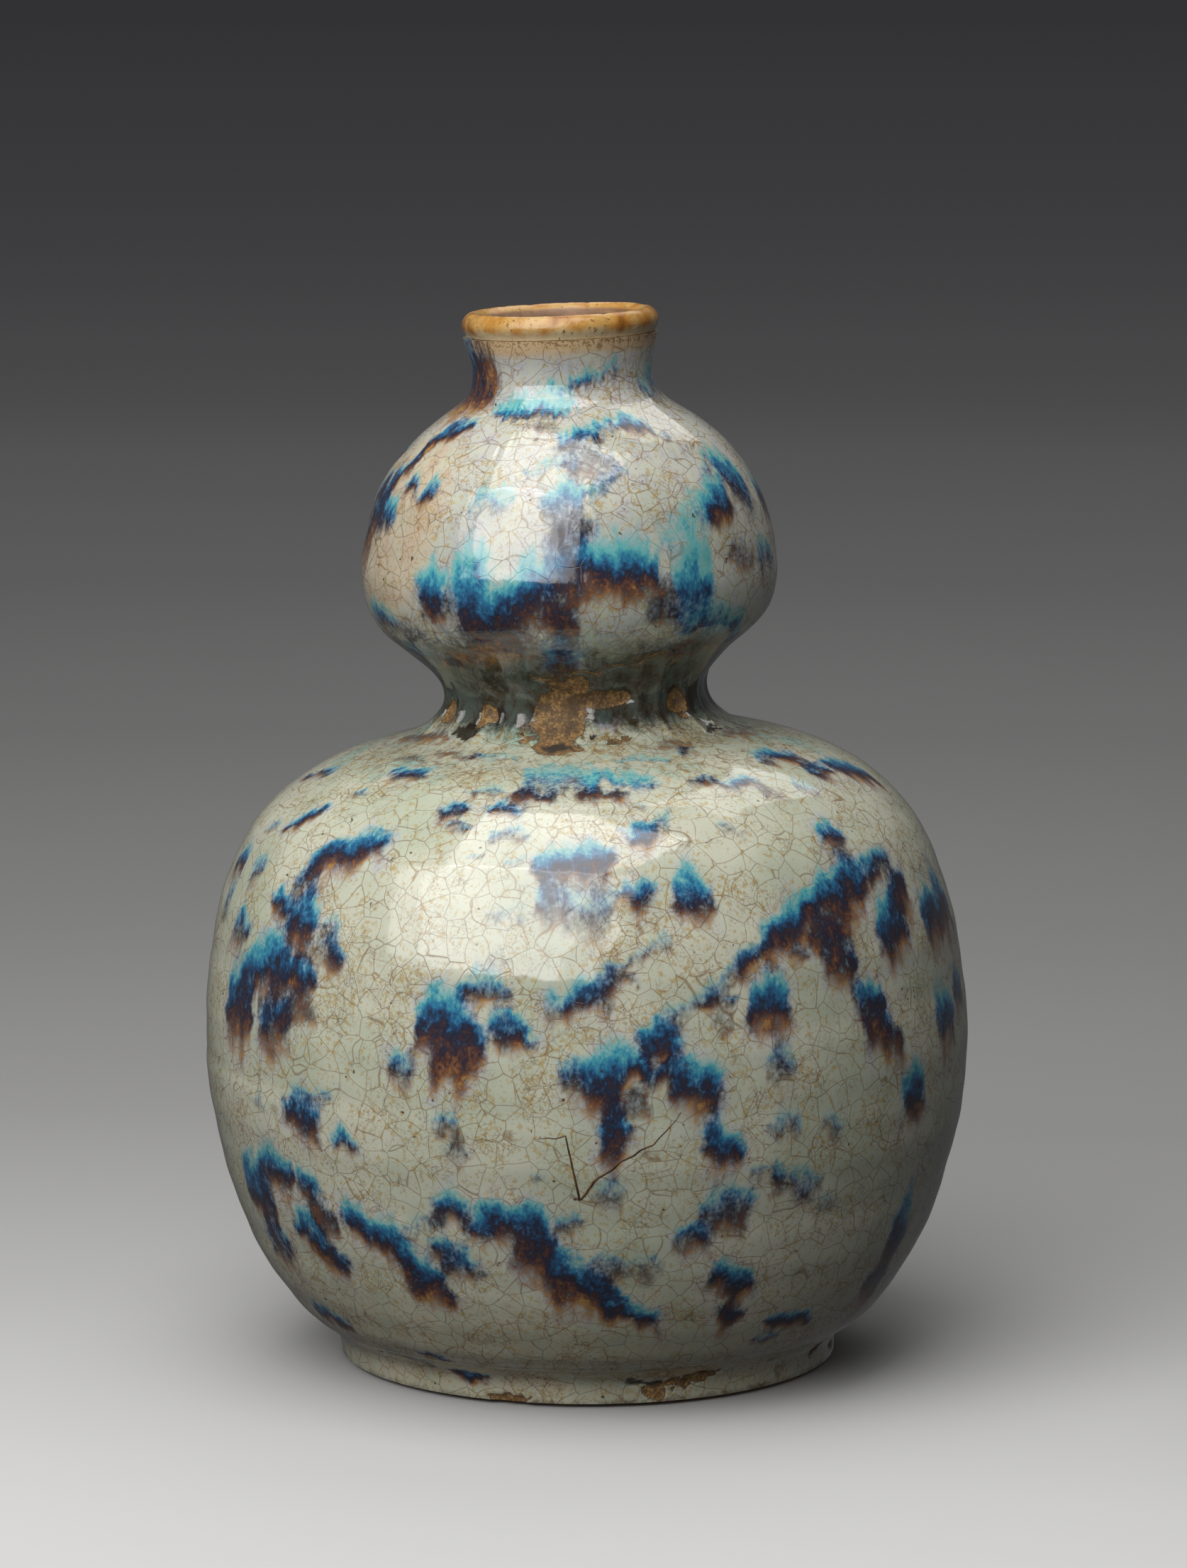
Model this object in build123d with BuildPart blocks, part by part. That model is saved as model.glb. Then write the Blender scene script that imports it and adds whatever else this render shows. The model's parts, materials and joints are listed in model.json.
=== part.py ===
"""A double gourd vase: thrown stoneware sections luted with slip, under two coats of thick glaze.

The foot and the lower bowl stand upright. From the belly up the body leans, turned about the middle of
the belly, so the two halves of the lower bulb meet on a tilted ring. Radii and heights are those of the
glazed surface, those above the belly along the leaning axis.
"""
import os
from math import cos, radians, sin

from build123d import *

# Lean of the body above the belly towards -X, in degrees
body_lean = 2.1

# Foot: a luted ring, ground flat on the table
foot_radius = 50.2
foot_height = 5.8
foot_ring_width = 8.0
foot_groove_depth = 0.8
foot_round = 3.2
foot_bevel = 0.6
grinding_allowance = 1.5
foot_swell_share = 0.62

# Lower bulb
belly_radius = 76.2
belly_height = 64.0
floor_thickness = 6.5
floor_flat_share = 0.45
bowl_wall_first_share = 0.4
belly_band_share = 1.7
bowl_shares = ((0.06, 0.02), (0.19, 0.036), (0.37, 0.125), (0.64, 0.33), (0.88, 0.66))
dome_shares = ((0.026, 0.25), (0.10, 0.48), (0.245, 0.67), (0.45, 0.79), (0.70, 0.862), (0.91, 0.912))

# Waist
waist_radius = 25.8

# Upper bulb: its underside rises from the waist, and its crown from the widest ring
bulb_radius = 41.3
underside_rise = 23.5
crown_rise = 39.0
underside_shares = ((0.085, 0.135), (0.50, 0.405), (0.80, 0.59), (0.945, 0.78))
crown_shares = (
    (0.017, 0.13),
    (0.082, 0.307),
    (0.18, 0.46),
    (0.35, 0.614),
    (0.563, 0.742),
    (0.79, 0.84),
    (0.945, 0.915),
)

# Neck, rolled lip and bore
neck_radius = 17.8
neck_rise = 13.0
lip_radius = 19.4
lip_thickness = 3.8
lip_overhang = 0.8
lip_depth = 4.8
vase_height = 210.0
bore_depth = 6.5
lip_roll_share = 0.48
mouth_edge_share = 0.3
lip_slope_share = 0.25

# Walls, joins and coats
clay_wall = 4.5
slip_thickness = 0.8
glaze_thickness = 0.8
glaze_edge_height = 0.9

# Bare marks that fingers and a stuck bit left in the lower coat, just under the waist, long along the axis
mark_turns = (-153.0, -128.0, -98.0, -41.0)
mark_widths = (5.0, 7.5, 10.5, 3.6)
mark_lengths = (3.4, 5.2, 7.5, 3.2)
mark_clearance = 0.8

# Samples that carry a profile curve through to the faces under it
curve_samples = 25

# The upright frame, and the leaning one that turns about the middle of the belly
upright_section = Plane.XZ
upright_axis = Axis.Z
belly_plane = Plane.XY.offset(belly_height).rotated((0, -body_lean, 0))
lean_frame = belly_plane.offset(-belly_height)
lean_section = Plane(origin=lean_frame.origin, x_dir=lean_frame.x_dir, z_dir=-lean_frame.y_dir)
lean_axis = Axis(lean_frame.origin, lean_frame.z_dir)

# Heights of the joins and of the widest ring, each hung from the one above it
neck_height = vase_height - neck_rise
bulb_height = neck_height - crown_rise
waist_height = bulb_height - underside_rise

# Sizes that several pieces share
half_slip = slip_thickness / 2
wall_depth = glaze_thickness + clay_wall
groove_radius = foot_radius - foot_groove_depth
foot_wall_radius = groove_radius - glaze_thickness
foot_inner_radius = foot_wall_radius - foot_ring_width
bore_radius = neck_radius - wall_depth
bore_top = vase_height - bore_depth

# The belly is a narrow band of a ball about its own middle, so both frames cut it in the same ring
belly_middle = (0, belly_height)
belly_band = body_lean * belly_band_share
band_heading = (sin(radians(belly_band)), cos(radians(belly_band)))


def between(start, end, shares):
    """Points on the way from start to end, each by its shares of the step across and the step up."""
    across = end[0] - start[0]
    up = end[1] - start[1]
    return [(start[0] + across * share[0], start[1] + up * share[1]) for share in shares]


def inset(curve, depth, first_share=0.0):
    """Points along a profile curve, moved into the wall square to the curve."""
    points = []
    for step in range(curve_samples):
        share = first_share + (1 - first_share) * step / (curve_samples - 1)
        heading = curve % share
        point = curve @ share + Vector(-heading.Y, heading.X) * depth
        points.append((point.X, point.Y))
    return points


def smooth(points, headings):
    """Draw a curve through points, with the given headings at its ends and an even pace along it."""
    return Spline(*points, tangents=headings, tangent_scalars=[1, 1])


def under(curve, depth):
    """Draw the curve that lies a constant depth under a profile curve."""
    headings = [curve % 0, curve % 1]
    return smooth(inset(curve, depth), [(heading.X, heading.Y) for heading in headings])


def belly_arc(depth):
    """Draw the belly's band, a constant depth under the glazed one."""
    return CenterArc(belly_middle, belly_radius - depth, -belly_band, 2 * belly_band)


# The glazed profile: points where its curves meet, then one curve for each section
foot_bottom = (foot_radius - foot_round, -grinding_allowance)
foot_swell = (foot_radius, foot_height * foot_swell_share)
foot_top = (groove_radius, foot_height - half_slip)
bowl_start = (groove_radius, foot_height + half_slip)
bowl_end = (belly_radius * band_heading[1], belly_height - belly_radius * band_heading[0])
dome_start = (belly_radius, belly_height + slip_thickness)
dome_end = (waist_radius, waist_height - half_slip)
bulb_start = (waist_radius, waist_height + half_slip)
bulb_widest = (bulb_radius, bulb_height)
bulb_end = (neck_radius, neck_height - half_slip)
neck_start = (neck_radius, neck_height + half_slip)
lip_start = (lip_radius - lip_overhang, vase_height - lip_depth)
lip_side = (lip_radius, vase_height - lip_depth * lip_roll_share)
lip_crest = (lip_radius - lip_thickness / 2, vase_height)
mouth_edge = (lip_radius - lip_thickness, vase_height - lip_thickness * mouth_edge_share)
bore_end = (bore_radius, bore_top)

upward = (0, 1)
downward = (0, -1)
outward = (1, 0)
foot_heading = (foot_swell[0] - foot_bottom[0], foot_swell[1] - foot_bottom[1])
lip_heading = (lip_slope_share, 1)

with BuildLine() as glazed_profile:
    foot_curve = smooth([foot_bottom, foot_swell, foot_top], [foot_heading, upward])
    bowl_points = between(bowl_start, bowl_end, bowl_shares)
    bowl_curve = smooth([bowl_start, *bowl_points, bowl_end], [upward, band_heading])
    dome_points = between(dome_start, dome_end, dome_shares)
    dome_curve = smooth([dome_start, *dome_points, dome_end], [upward, upward])
    underside_points = between(bulb_start, bulb_widest, underside_shares)
    crown_points = between(bulb_widest, bulb_end, crown_shares)
    bulb_points = [bulb_start, *underside_points, bulb_widest, *crown_points, bulb_end]
    bulb_curve = smooth(bulb_points, [upward, upward])
    neck_curve = smooth([neck_start, lip_start], [upward, lip_heading])
    lip_curve = smooth([lip_start, lip_side, lip_crest, mouth_edge, bore_end], [lip_heading, downward])


def slip_seam(section, axis, inner_radius, outer_radius, height):
    """A ring of slip between two sections, with the bead that it squeezes out on the hollow side."""
    with BuildPart() as seam:
        with BuildSketch(section):
            with BuildLine():
                Polyline(
                    (inner_radius, height - half_slip),
                    (outer_radius, height - half_slip),
                    (outer_radius, height + half_slip),
                    (inner_radius, height + half_slip),
                )
                ThreePointArc(
                    (inner_radius, height + half_slip),
                    (inner_radius - half_slip, height),
                    (inner_radius, height - half_slip),
                )
            make_face()
        revolve(axis=axis)
    return seam


def mark_plane(turn, height):
    """A plane at a height on the leaning axis that faces out along a spoke, at a turn about the axis."""
    spoke = lean_frame.rotated((0, 0, turn))
    return Plane(origin=spoke.from_local_coords((0, 0, height)), x_dir=spoke.y_dir, z_dir=spoke.x_dir)


# Foot ring, with a rounded outer edge and a lower face ground flat on the table
with BuildPart() as foot_ring:
    with BuildSketch(upright_section):
        with BuildLine():
            foot_wall = under(foot_curve, glaze_thickness)
            foot_wall_top = (foot_wall_radius, foot_top[1])
            Polyline(
                foot_wall_top,
                (foot_inner_radius, foot_top[1]),
                (foot_inner_radius, -grinding_allowance),
                foot_wall @ 0,
            )
        make_face()
    revolve(axis=upright_axis)
    split(bisect_by=Plane.XY, keep=Keep.TOP)
    chamfer(foot_ring.edges().group_by(Axis.Z)[0], length=foot_bevel)

foot_slip_seam = slip_seam(upright_section, upright_axis, foot_inner_radius, foot_wall_radius, foot_height)

# Lower bowl: the floor and the wall, cut off at the belly on the tilted ring
floor_top = bowl_start[1] + floor_thickness
floor_edge = (groove_radius * floor_flat_share, floor_top)
with BuildPart() as lower_bowl:
    with BuildSketch(upright_section):
        with BuildLine():
            bowl_wall = under(bowl_curve, glaze_thickness)
            bowl_rim_outside = belly_arc(glaze_thickness)
            bowl_rim_inside = belly_arc(wall_depth)
            Line(bowl_rim_outside @ 1, bowl_rim_inside @ 1)
            hollow_points = inset(bowl_curve, wall_depth, bowl_wall_first_share)
            smooth([floor_edge, *hollow_points], [outward, band_heading])
            Polyline(floor_edge, (0, floor_top), (0, bowl_start[1]), bowl_wall @ 0)
        make_face()
    revolve(axis=upright_axis)
    split(bisect_by=belly_plane, keep=Keep.BOTTOM)

belly_seam_height = belly_height + half_slip
belly_slip_seam = slip_seam(
    lean_section, lean_axis, belly_radius - wall_depth, belly_radius - glaze_thickness, belly_seam_height
)

# Shoulder dome: from the belly in to the waist
with BuildPart() as shoulder_dome:
    with BuildSketch(lean_section):
        with BuildLine():
            dome_wall = under(dome_curve, glaze_thickness)
            dome_hollow = under(dome_curve, wall_depth)
            Line(dome_wall @ 0, dome_hollow @ 0)
            Line(dome_wall @ 1, dome_hollow @ 1)
        make_face()
    revolve(axis=lean_axis)

waist_slip_seam = slip_seam(
    lean_section, lean_axis, waist_radius - wall_depth, waist_radius - glaze_thickness, waist_height
)

# Upper bulb: from the waist up to the root of the neck
with BuildPart() as upper_bulb:
    with BuildSketch(lean_section):
        with BuildLine():
            bulb_wall = under(bulb_curve, glaze_thickness)
            bulb_hollow = under(bulb_curve, wall_depth)
            Line(bulb_wall @ 0, bulb_hollow @ 0)
            Line(bulb_wall @ 1, bulb_hollow @ 1)
        make_face()
    revolve(axis=lean_axis)

# The slip in the neck is wiped back, so that its bead ends level with the bore
neck_slip_seam = slip_seam(
    lean_section, lean_axis, bore_radius + half_slip, neck_radius - glaze_thickness, neck_height
)

# Neck: a short collar with a rolled lip and a plain bore
with BuildPart() as neck:
    with BuildSketch(lean_section):
        with BuildLine():
            neck_wall = under(neck_curve, glaze_thickness)
            lip_wall = under(lip_curve, glaze_thickness)
            Polyline(lip_wall @ 1, bore_end, (bore_radius, neck_start[1]), neck_wall @ 0)
        make_face()
    revolve(axis=lean_axis)

# Lower coat of glaze: from just above the table to the waist, bare at the marks
coat_top = (waist_radius, waist_height)
coat_root = (waist_radius - glaze_thickness, waist_height)
belly_outside = (belly_radius, belly_height)
belly_inside = (belly_radius - glaze_thickness, belly_height)
with BuildPart() as lower_glaze_coat:
    with BuildSketch(upright_section):
        with BuildLine():
            add([foot_curve, bowl_curve])
            under_foot = under(foot_curve, glaze_thickness)
            under_bowl = under(bowl_curve, glaze_thickness)
            band_outside = belly_arc(0)
            band_inside = belly_arc(glaze_thickness)
            Line(foot_bottom, under_foot @ 0)
            Line(foot_top, bowl_start)
            Line(under_foot @ 1, under_bowl @ 0)
            Line(band_outside @ 1, band_inside @ 1)
        make_face()
    revolve(axis=upright_axis)
    split(bisect_by=Plane.XY.offset(glaze_edge_height), keep=Keep.TOP)
    split(bisect_by=belly_plane, keep=Keep.BOTTOM)
    with BuildSketch(lean_section):
        with BuildLine():
            add(dome_curve)
            under_dome = under(dome_curve, glaze_thickness)
            Polyline(dome_start, belly_outside, belly_inside, under_dome @ 0)
            Polyline(dome_end, coat_top, coat_root, under_dome @ 1)
        make_face()
    revolve(axis=lean_axis)
    for turn, width, length in zip(mark_turns, mark_widths, mark_lengths):
        with BuildSketch(mark_plane(turn, waist_height - mark_clearance - length / 2)):
            Ellipse(width / 2, length / 2)
        extrude(amount=belly_radius, mode=Mode.SUBTRACT)

# Upper coat of glaze: from the waist to the foot of the lip
with BuildPart() as upper_glaze_coat:
    with BuildSketch(lean_section):
        with BuildLine():
            add([bulb_curve, neck_curve])
            under_bulb = under(bulb_curve, glaze_thickness)
            under_neck = under(neck_curve, glaze_thickness)
            Polyline(bulb_start, coat_top, coat_root, under_bulb @ 0)
            Line(bulb_end, neck_start)
            Line(under_bulb @ 1, under_neck @ 0)
            Line(neck_curve @ 1, under_neck @ 1)
        make_face()
    revolve(axis=lean_axis)

# Iron wash that dresses the lip, over the roll and into the mouth
with BuildPart() as lip_wash:
    with BuildSketch(lean_section):
        with BuildLine():
            add(lip_curve)
            under_lip = under(lip_curve, glaze_thickness)
            Line(lip_curve @ 0, under_lip @ 0)
            Line(lip_curve @ 1, under_lip @ 1)
        make_face()
    revolve(axis=lean_axis)

pieces = {
    "foot_ring": foot_ring,
    "foot_slip_seam": foot_slip_seam,
    "lower_bowl": lower_bowl,
    "belly_slip_seam": belly_slip_seam,
    "shoulder_dome": shoulder_dome,
    "waist_slip_seam": waist_slip_seam,
    "upper_bulb": upper_bulb,
    "neck_slip_seam": neck_slip_seam,
    "neck": neck,
    "lower_glaze_coat": lower_glaze_coat,
    "upper_glaze_coat": upper_glaze_coat,
    "lip_wash": lip_wash,
}

os.makedirs("parts", exist_ok=True)
for name, piece in pieces.items():
    piece.part.label = name
    export_step(piece.part, f"parts/{name}.step")
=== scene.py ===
"""Looks of a double gourd vase: splashed crackle glaze over thrown stoneware, in a soft studio light.

A turn is an angle about the vase's axis: 0 faces the photograph's camera and it grows to the right. A height
is measured along the axis, which leans above the belly. An arc is the way along the glazed profile.
"""
import json
import math

import bpy
import numpy as np
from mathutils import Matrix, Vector
from mathutils.bvhtree import BVHTree


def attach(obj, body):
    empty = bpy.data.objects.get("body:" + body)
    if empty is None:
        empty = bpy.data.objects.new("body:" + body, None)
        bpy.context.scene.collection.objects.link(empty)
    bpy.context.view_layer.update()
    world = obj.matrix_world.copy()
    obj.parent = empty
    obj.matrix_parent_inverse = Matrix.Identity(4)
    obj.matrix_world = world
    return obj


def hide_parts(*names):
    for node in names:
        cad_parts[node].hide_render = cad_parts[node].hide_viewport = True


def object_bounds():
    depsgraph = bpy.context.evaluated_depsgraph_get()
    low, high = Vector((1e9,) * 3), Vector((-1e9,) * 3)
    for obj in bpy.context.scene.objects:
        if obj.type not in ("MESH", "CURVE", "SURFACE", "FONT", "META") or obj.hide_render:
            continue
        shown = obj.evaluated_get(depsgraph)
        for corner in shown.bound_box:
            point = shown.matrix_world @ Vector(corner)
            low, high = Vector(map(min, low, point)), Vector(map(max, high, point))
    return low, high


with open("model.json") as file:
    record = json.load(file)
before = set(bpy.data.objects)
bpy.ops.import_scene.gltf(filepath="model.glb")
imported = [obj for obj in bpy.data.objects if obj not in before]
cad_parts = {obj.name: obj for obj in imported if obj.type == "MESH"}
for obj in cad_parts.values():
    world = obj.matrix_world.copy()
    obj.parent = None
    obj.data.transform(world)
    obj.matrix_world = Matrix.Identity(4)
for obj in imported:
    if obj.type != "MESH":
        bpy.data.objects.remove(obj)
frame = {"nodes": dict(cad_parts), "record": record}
cad_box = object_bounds()

MM = 0.001
rng = np.random.default_rng(7)

# The leaning axis, from the bore that the record states
mouth_bore = next(mount for mount in frame["record"]["mounts"] if mount["name"] == "mouth_bore")
bore_axis = Vector(mouth_bore["axis"]).normalized()
bore_middle = Vector(mouth_bore["pos_m"])
body_lean = math.atan2(-bore_axis.x, bore_axis.z)
belly_height = bore_middle.z - bore_middle.x * bore_axis.z / bore_axis.x
belly_radius = cad_box[1].y
belly_band = belly_radius * math.sin(1.7 * body_lean)

# Heights where the coats begin and end
glaze_edge_height = 0.9 * MM
waist_height = 134.5 * MM
lip_foot_height = 205.2 * MM

# Heights between which the coats change: the foot's softened step and its flush, the pools round the
# waist, the milk of the upper bulb and of its crown, and the flare and the flush under the lip
foot_step = (14 * MM, 22 * MM)
foot_flush = (8 * MM, 50 * MM)
pool_begins = (114 * MM, 124 * MM)
pool_ends = (130 * MM, 146 * MM)
bulb_milk = (138 * MM, 150 * MM)
crown_milk = (191 * MM, 196 * MM)
lip_flare = (198.5 * MM, lip_foot_height)
lip_flush = (200 * MM, lip_foot_height)

# Fineness of the glaze meshes and, in steps of the profile, how far the foot's step is spread
turn_count = 480
ring_step = 1.15 * MM
fine_ring_step = 0.55 * MM
fine_reach = 11 * MM
profile_step = 0.4 * MM
foot_spread = 12
edge_margin = 0.05 * MM
glaze_thickness = 0.8 * MM
inner_ring_stride = 4

# Photograph's camera: the image is 1674 by 2212 pixels
photo_height = 2212
focal_pixels = 8579
camera_place = (1.3 * MM, -1200 * MM, 294.4 * MM)
camera_pitch = math.radians(8.49)

# Paper floor: half its width, the spot in front of the vase where its painted light is palest, and its tones
# by the distance from there in metres, the nearest and the furthest first. The tones are painted light
# falloff: pale round the vase as if lit there, greyer further off as if less light reached it
paper_reach = 15.0
palest_painted_spot = (-0.1, -0.6, 0.0)
painted_falloff_tones = {
    0.0: "#B6B6B6", 12.0: "#B0B0B0", 0.5: "#B6B6B6", 0.64: "#A2A2A2", 0.85: "#8D8D8D", 1.1: "#868686",
    1.5: "#888888", 1.95: "#9A9A9A", 2.55: "#C3C3C3", 3.3: "#CDCDCD", 5.6: "#C4C4C4",
}


def linear(code):
    """Linear colour of an sRGB hex code."""
    parts = [int(code[place:place + 2], 16) / 255 for place in (1, 3, 5)]
    return [part / 12.92 if part <= 0.04045 else ((part + 0.055) / 1.055) ** 2.4 for part in parts] + [1.0]


def ease(low, high, value):
    """0 below low, 1 above high and a smooth step between them."""
    share = np.clip((value - low) / (high - low), 0, 1)
    return share * share * (3 - 2 * share)


# Shape of the glazed body


def tilt_at(height):
    """How far a ring leans: not at all below the belly, fully above, eased over the belly's band."""
    return body_lean * ease(belly_height - belly_band, belly_height + belly_band, height)


def place(turn, height, radius):
    """Points in the row frame, by turn, height and radius."""
    tilt = tilt_at(height)
    across = radius * np.sin(turn)
    up = height - belly_height
    return np.stack(
        [
            across * np.cos(tilt) - up * np.sin(tilt),
            -radius * np.cos(turn) + 0 * tilt,
            belly_height + across * np.sin(tilt) + up * np.cos(tilt),
        ],
        axis=-1,
    )


def glazed_profile():
    """Heights, outer radii and arcs of the glazed body, measured on the coats' solids by rays."""
    solids = {
        node: BVHTree.FromObject(frame["nodes"][node], bpy.context.evaluated_depsgraph_get())
        for node in ("lower_glaze_coat", "upper_glaze_coat")
    }
    steps = int((lip_foot_height - glaze_edge_height) / profile_step)
    heights = np.linspace(glaze_edge_height, lip_foot_height, steps)
    radii = []
    for height in heights:
        is_lower = height < waist_height
        low, high = (glaze_edge_height, waist_height) if is_lower else (waist_height, lip_foot_height)
        inside_the_edge = min(max(height, low + edge_margin), high - edge_margin)
        reach = 0.0
        for turn in np.radians(np.arange(0, 360, 15)):
            start = Vector(place(turn, inside_the_edge, 2 * belly_radius))
            axis_point = Vector(place(turn, inside_the_edge, 0.0))
            solid = solids["lower_glaze_coat" if is_lower else "upper_glaze_coat"]
            hit = solid.ray_cast(start, axis_point - start)[0]
            if hit is not None:
                reach = max(reach, (hit - axis_point).length)
        radii.append(reach)
    radii = np.convolve(np.pad(radii, 2, mode="edge"), np.ones(5) / 5, mode="valid")
    arcs = np.concatenate([[0], np.cumsum(np.hypot(np.diff(heights), np.diff(radii)))])
    return heights, radii, arcs


def soft_field(shape, reach):
    """A grid of soft random numbers, mostly from -1 to 1, whose lumps are about reach steps wide."""
    waves = np.fft.fft2(rng.standard_normal(shape))
    round_wave, up_wave = np.meshgrid(np.fft.fftfreq(shape[1]), np.fft.fftfreq(shape[0]))
    field = np.fft.ifft2(waves * np.exp(-2 * (reach * np.hypot(round_wave, up_wave)) ** 2 * math.pi)).real
    return field / (2 * field.std())


coat_layers = ("splash", "run", "milk", "bare", "thin", "soot", "blush", "pool")


class Coat:
    """One glaze coat as a grid of rings and turns, with a layer of numbers for each thing that varies.

    Its softness says how much softer than the lower coat's the edges of its runs are.
    """

    def __init__(self, node, profile, low, high, fine_heights, softness):
        heights, radii, arcs = profile
        self.softness = softness
        way = np.linspace(*np.interp((low, high), heights, arcs), 500)
        nearest = np.abs(way[:, None] - np.interp(fine_heights, heights, arcs)[None, :]).min(axis=1)
        step = fine_ring_step + (ring_step - fine_ring_step) * ease(fine_reach, 2 * fine_reach, nearest)
        count = np.concatenate([[0], np.cumsum(np.diff(way) * 2 / (step[1:] + step[:-1]))])
        self.node = node
        self.profile = profile
        self.arc = np.interp(np.linspace(0, count[-1], int(count[-1]) + 1), count, way)
        self.height = np.interp(self.arc, arcs, heights)
        self.radius = np.interp(self.arc, arcs, radii)
        self.turn = np.arange(turn_count) * 2 * math.pi / turn_count - math.pi
        shape = (len(self.arc), turn_count)
        for layer in coat_layers:
            setattr(self, layer, np.zeros(shape))
        self.run_weight = np.zeros(shape)
        self.raised = np.zeros(shape)
        self.off_waist = ease(0, 4 * MM, np.abs(self.height - waist_height))[:, None]
        self.round_drift = 0.8 * MM * soft_field(shape, 4) + 0.9 * MM * soft_field(shape, 1.4)
        self.round_drift *= self.off_waist
        self.down_drift = 1.0 * MM * soft_field(shape, 4) + 1.1 * MM * soft_field(shape, 1.4)
        self.down_drift *= self.off_waist
        self.crumble = soft_field(shape, 1.2)

    def arc_at(self, height):
        """The arc at a height."""
        return np.interp(height, self.profile[0], self.profile[2])

    def offset(self, turn, arc):
        """Way round and way up from a spot, in metres, at each point of the grid."""
        round_way = (self.turn[None, :] - turn + math.pi) % (2 * math.pi) - math.pi
        return round_way * self.radius[:, None], (self.arc - arc)[:, None] + 0 * round_way


def smooth_comb(count, reach):
    """A ring of soft random numbers from -1 to 1 whose lumps are about reach places wide."""
    waves = np.fft.rfft(rng.standard_normal(count))
    waves *= np.exp(-((np.arange(len(waves)) * reach / count) ** 2) * 2)
    comb = np.fft.irfft(waves, count)
    return comb / np.abs(comb).max()


# Splashes of oxide on the glaze, read from the photograph. Each is a run: the turns and heights of its
# upper edge from left to right in degrees and millimetres, its length downwards, its strength, and how far
# through the run's colours it starts; one that starts below nothing is a thin run that ends before the rust

neck_runs = (
    (-90, 204, -76, 205, 16, 0.85, 0.2),
    (-75, 209, -63, 208, 18, 1.0, 0.42),
    (-62, 206, -48, 204, 14, 0.85, 0.72),
    (-64, 196.5, -54, 196.5, 7, 0.8, 0.15),
    (-6, 198, 14, 200, 4, 0.55, -0.35),
    (13, 200, 34, 203, 4, 0.6, -0.35),
    (2, 197, 34, 199.5, 3, 0.25, 0.55),
    (-36, 197, 4, 197, 7, 0.8, -0.4),
    (62, 200, 80, 201, 10, 0.6, -0.1),
)
crown_runs = (
    (-34, 193.4, -20, 193.6, 5, 0.85, -0.15),
    (-15, 193.4, -2, 193, 4, 0.75, -0.05),
    (-12, 190, -4, 190, 4, 0.5, 0.6),
    (-60, 188, -46, 190.5, 5, 0.85, 0),
    (-64, 187.5, -57, 190.5, 5, 0.9, 0.15),
    (-69, 182.5, -62, 188, 6, 1.0, 0.2),
    (-74, 177.5, -66, 183.5, 6, 1.0, 0.2),
    (-81, 171, -72, 178.5, 8, 1.0, 0.25),
    (-88, 176, -78, 181, 9, 0.8, 0.2),
    (-76, 176, -64, 176.5, 8, 0.85, -0.15),
    (-50, 178.5, -44, 180.5, 6, 0.8, -0.05),
    (-59, 179.5, -55, 180.5, 5, 0.75, 0),
    (-28, 179.5, -18, 179.5, 7, 0.6, -0.25),
    (1, 188.5, 13, 189.5, 6, 0.85, -0.1),
    (15, 190, 26, 190.6, 4, 0.55, -0.2),
    (26, 190.8, 34, 190.3, 6, 0.9, 0),
    (34, 189, 44, 187, 4, 0.6, 0.3),
    (2, 185.5, 17, 185, 7, 0.6, 0.35),
    (-12, 183, 0, 184.5, 4, 0.45, -0.3),
    (-4, 180, 5, 181, 9, 0.75, -0.15),
    (-4, 173, 5, 173, 6, 0.55, 0.4),
    (8, 180, 20, 182.5, 4, 0.5, -0.3),
    (44, 178, 55, 179, 8, 0.85, -0.2),
    (60, 184, 69, 181.5, 13, 0.9, -0.1),
    (53, 181.5, 57, 182.5, 4, 0.6, -0.1),
    (46, 176, 54, 176.5, 9, 0.9, 0.3),
    (52, 166, 60, 165.5, 7, 0.6, 0.55),
    (80, 178, 90, 176, 12, 0.8, 0),
)
bulb_runs = (
    (-43.5, 166.5, -37.5, 166.5, 12, 1.0, -0.2),
    (-43, 159, -37, 159, 7, 0.75, 0.55),
    (-31.5, 169.5, -24, 169.5, 15, 1.0, -0.2),
    (-31, 161, -23, 160.5, 15, 1.0, 0.2),
    (-23, 161.5, -2, 168.5, 11, 1.0, -0.25),
    (-15, 163, -4, 164.5, 8, 0.9, 0.15),
    (-22, 158, -9, 158.5, 9, 0.7, 0.5),
    (-4.5, 170, 2.5, 169.5, 11, 0.9, 0.35),
    (-5, 160, 0, 159.5, 14, 0.9, 0.42),
    (5, 170.5, 22, 171, 11, 1.0, -0.25),
    (8, 166.5, 21, 166, 7, 0.8, 0.1),
    (2, 163, 15, 163, 8, 0.75, 0.55),
    (15, 163.5, 28, 162, 8, 0.7, 0.58),
    (32, 170.5, 41, 171, 20, 0.95, -0.3),
    (34, 164, 40, 163.5, 9, 0.6, 0.1),
    (28, 174, 48, 178, 8, 0.6, -0.4),
    (24, 156.5, 29, 156, 6, 0.6, 0.1),
    (-86, 170, -76, 170, 12, 0.6, 0.55),
    (-72, 156, -62, 155, 8, 0.7, -0.05),
    (-58, 152, -48, 151, 7, 0.45, 0.4),
    (-27, 152, -12, 152.5, 10, 0.65, 0.5),
    (48, 151, 64, 149, 8, 0.6, -0.05),
    (-6, 149, 1, 149, 14, 0.8, -0.05),
    (-42, 150, -16, 150.5, 9, 0.65, 0.5),
    (36, 155, 56, 154, 9, 0.65, -0.1),
    (22, 148, 58, 147, 7, 0.6, 0.45),
    (-62, 147, -46, 146.5, 7, 0.6, 0.1),
    (66, 167, 74, 166, 10, 0.6, -0.05),
)
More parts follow.
